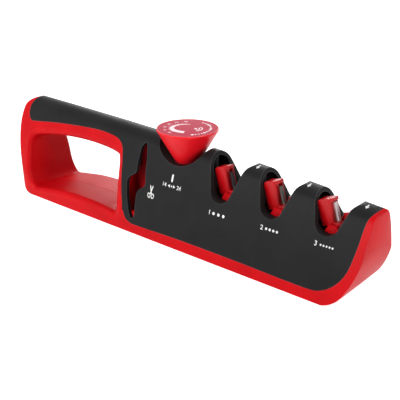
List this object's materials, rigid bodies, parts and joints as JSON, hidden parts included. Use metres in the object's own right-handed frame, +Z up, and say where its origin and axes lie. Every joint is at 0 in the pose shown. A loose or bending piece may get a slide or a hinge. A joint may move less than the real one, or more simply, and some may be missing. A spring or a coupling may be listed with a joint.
{
  "type": "knife and scissor sharpener",
  "caption": "Hand-held sharpener with a red loop handle frame, black cover, dial knob that sets the blade angle, and knife slots with crossing abrasive arms",
  "frame": {"origin": "centre of the bounding box on the resting face of the foot pads", "axes": "+X along the body to the nose, +Y to the back face, +Z up; the printed front face looks to -Y"},
  "size_m": [0.26, 0.0414, 0.066],
  "materials": {
    "red_abs": "moulded red plastic, satin gloss",
    "black_abs": "moulded black plastic, fine satin grain",
    "dial_plastic": "rose red printed disc, satin",
    "foot_rubber": "matt black rubber",
    "zinc_steel": "zinc plated steel",
    "natural_acetal": "natural white engineering plastic",
    "dark_diamond": "dark metal with coarse diamond grit",
    "grey_diamond": "grey metal with fine diamond grit",
    "white_ceramic": "white sintered ceramic, matt"
  },
  "bodies": {
    "housing": {"handle_frame": "red_abs", "top_cover": "black_abs", "base_cover": "black_abs", "foot_pads": "foot_rubber", "cover_screws": "zinc_steel", "base_screws": "zinc_steel", "scissor_holder": "red_abs", "scissor_rods": "white_ceramic", "spindle_bush": "natural_acetal", "click_spring": "zinc_steel", "coarse_stand": "red_abs", "medium_stand": "red_abs", "fine_stand": "red_abs", "coarse_pivot_pin": "zinc_steel", "medium_pivot_pin": "zinc_steel", "fine_pivot_pin": "zinc_steel"},
    "knob": {"angle_knob": "red_abs", "dial_disc": "dial_plastic", "knob_spindle": "zinc_steel", "knob_screw": "zinc_steel", "click_wheel": "zinc_steel"},
    "slide_front": {"front_slider": "natural_acetal"},
    "slide_back": {"back_slider": "natural_acetal"},
    "coarse_front": {"coarse_front_arm": "red_abs", "coarse_front_bar": "dark_diamond", "coarse_front_pin": "zinc_steel"},
    "coarse_back": {"coarse_back_arm": "red_abs", "coarse_back_bar": "dark_diamond", "coarse_back_pin": "zinc_steel"},
    "medium_front": {"medium_front_arm": "red_abs", "medium_front_bar": "grey_diamond", "medium_front_pin": "zinc_steel"},
    "medium_back": {"medium_back_arm": "red_abs", "medium_back_bar": "grey_diamond", "medium_back_pin": "zinc_steel"},
    "fine_front": {"fine_front_arm": "red_abs", "fine_front_bar": "white_ceramic", "fine_front_pin": "zinc_steel"},
    "fine_back": {"fine_back_arm": "red_abs", "fine_back_bar": "white_ceramic", "fine_back_pin": "zinc_steel"}
  },
  "joints": [
    {"name": "knob_turn", "type": "hinge", "parent": "housing", "child": "knob", "pos_m": [0.0075, 0, 0.0467], "axis": [0, 0, 1], "range_deg": [-50, 50]},
    {"name": "front_slide", "type": "slide", "parent": "housing", "child": "slide_front", "axis": [1, 0, 0], "range_m": [-0.001, 0.001]},
    {"name": "back_slide", "type": "slide", "parent": "housing", "child": "slide_back", "axis": [1, 0, 0], "range_m": [-0.001, 0.001]},
    {"name": "coarse_front_lean", "type": "hinge", "parent": "housing", "child": "coarse_front", "pos_m": [0.0435, -0.00325, 0.035], "axis": [0, 1, 0], "range_deg": [-5.2, 5.2]},
    {"name": "coarse_back_lean", "type": "hinge", "parent": "housing", "child": "coarse_back", "pos_m": [0.0435, 0.00325, 0.035], "axis": [0, 1, 0], "range_deg": [-5.2, 5.2]},
    {"name": "medium_front_lean", "type": "hinge", "parent": "housing", "child": "medium_front", "pos_m": [0.0759, -0.00325, 0.035], "axis": [0, 1, 0], "range_deg": [-5.2, 5.2]},
    {"name": "medium_back_lean", "type": "hinge", "parent": "housing", "child": "medium_back", "pos_m": [0.0759, 0.00325, 0.035], "axis": [0, 1, 0], "range_deg": [-5.2, 5.2]},
    {"name": "fine_front_lean", "type": "hinge", "parent": "housing", "child": "fine_front", "pos_m": [0.1083, -0.00325, 0.035], "axis": [0, 1, 0], "range_deg": [-5.2, 5.2]},
    {"name": "fine_back_lean", "type": "hinge", "parent": "housing", "child": "fine_back", "pos_m": [0.1083, 0.00325, 0.035], "axis": [0, 1, 0], "range_deg": [-5.2, 5.2]}
  ],
  "couplings": [
    {"joint": "front_slide", "follows": "knob_turn", "m_per_rad": 0.0011},
    {"joint": "back_slide", "follows": "knob_turn", "m_per_rad": -0.0011},
    {"joint": "coarse_front_lean", "follows": "knob_turn", "ratio": -0.1},
    {"joint": "coarse_back_lean", "follows": "knob_turn", "ratio": 0.1},
    {"joint": "medium_front_lean", "follows": "knob_turn", "ratio": -0.1},
    {"joint": "medium_back_lean", "follows": "knob_turn", "ratio": 0.1},
    {"joint": "fine_front_lean", "follows": "knob_turn", "ratio": -0.1},
    {"joint": "fine_back_lean", "follows": "knob_turn", "ratio": 0.1}
  ]
}
